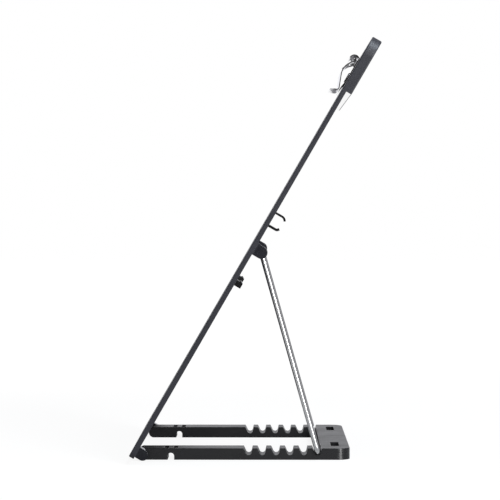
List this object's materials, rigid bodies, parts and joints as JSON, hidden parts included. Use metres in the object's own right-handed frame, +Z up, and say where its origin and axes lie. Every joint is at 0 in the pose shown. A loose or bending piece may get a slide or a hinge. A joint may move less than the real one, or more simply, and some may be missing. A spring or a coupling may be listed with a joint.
{
  "type": "music stand",
  "caption": "Tabletop music stand: a sheet panel with a sprung clip, hinged to a flat U-shaped notched base and held at an angle by a bent wire prop.",
  "frame": {"origin": "on the table, at the middle of the stand's outer box", "axes": "+X from the reader to the rear, +Y across the stand along the hinge axis, +Z up"},
  "size_m": [0.1742, 0.23, 0.295],
  "materials": {
    "charcoal_plastic": "fine moulded grain",
    "black_plastic": "satin moulding",
    "bright_wire": "plated wire",
    "clip_chrome": "plated pressed sheet",
    "steel": "drawn steel"
  },
  "bodies": {
    "base": {"base_frame": "black_plastic"},
    "panel": {"panel_board": "charcoal_plastic", "hinge_pin_near": "steel", "hinge_pin_far": "steel", "fold_latch_near": "black_plastic", "fold_latch_far": "black_plastic", "pen_clip": "black_plastic", "clip_base": "clip_chrome", "clip_pin": "steel", "clip_rivets": "steel", "clip_spring": "steel"},
    "prop": {"prop_wire": "bright_wire"},
    "jaw": {"clip_jaw": "clip_chrome"}
  },
  "joints": [
    {"name": "panel_tilt", "type": "hinge", "parent": "base", "child": "panel", "pos_m": [-0.07905, 0, 0.004], "axis": [0, -1, 0], "range_deg": [0, 38]},
    {"name": "prop_swing", "type": "hinge", "parent": "panel", "child": "prop", "pos_m": [0.00399, 0, 0.14589], "axis": [0, -1, 0], "range_deg": [0, 130]},
    {"name": "clip_open", "type": "hinge", "parent": "panel", "child": "jaw", "pos_m": [0.07165, 0, 0.2848], "axis": [0, 1, 0], "range_deg": [0, 45], "stiffness_Nm_per_rad": 0.2, "springref_deg": -57.3, "deforming": ["clip_spring"]}
  ]
}
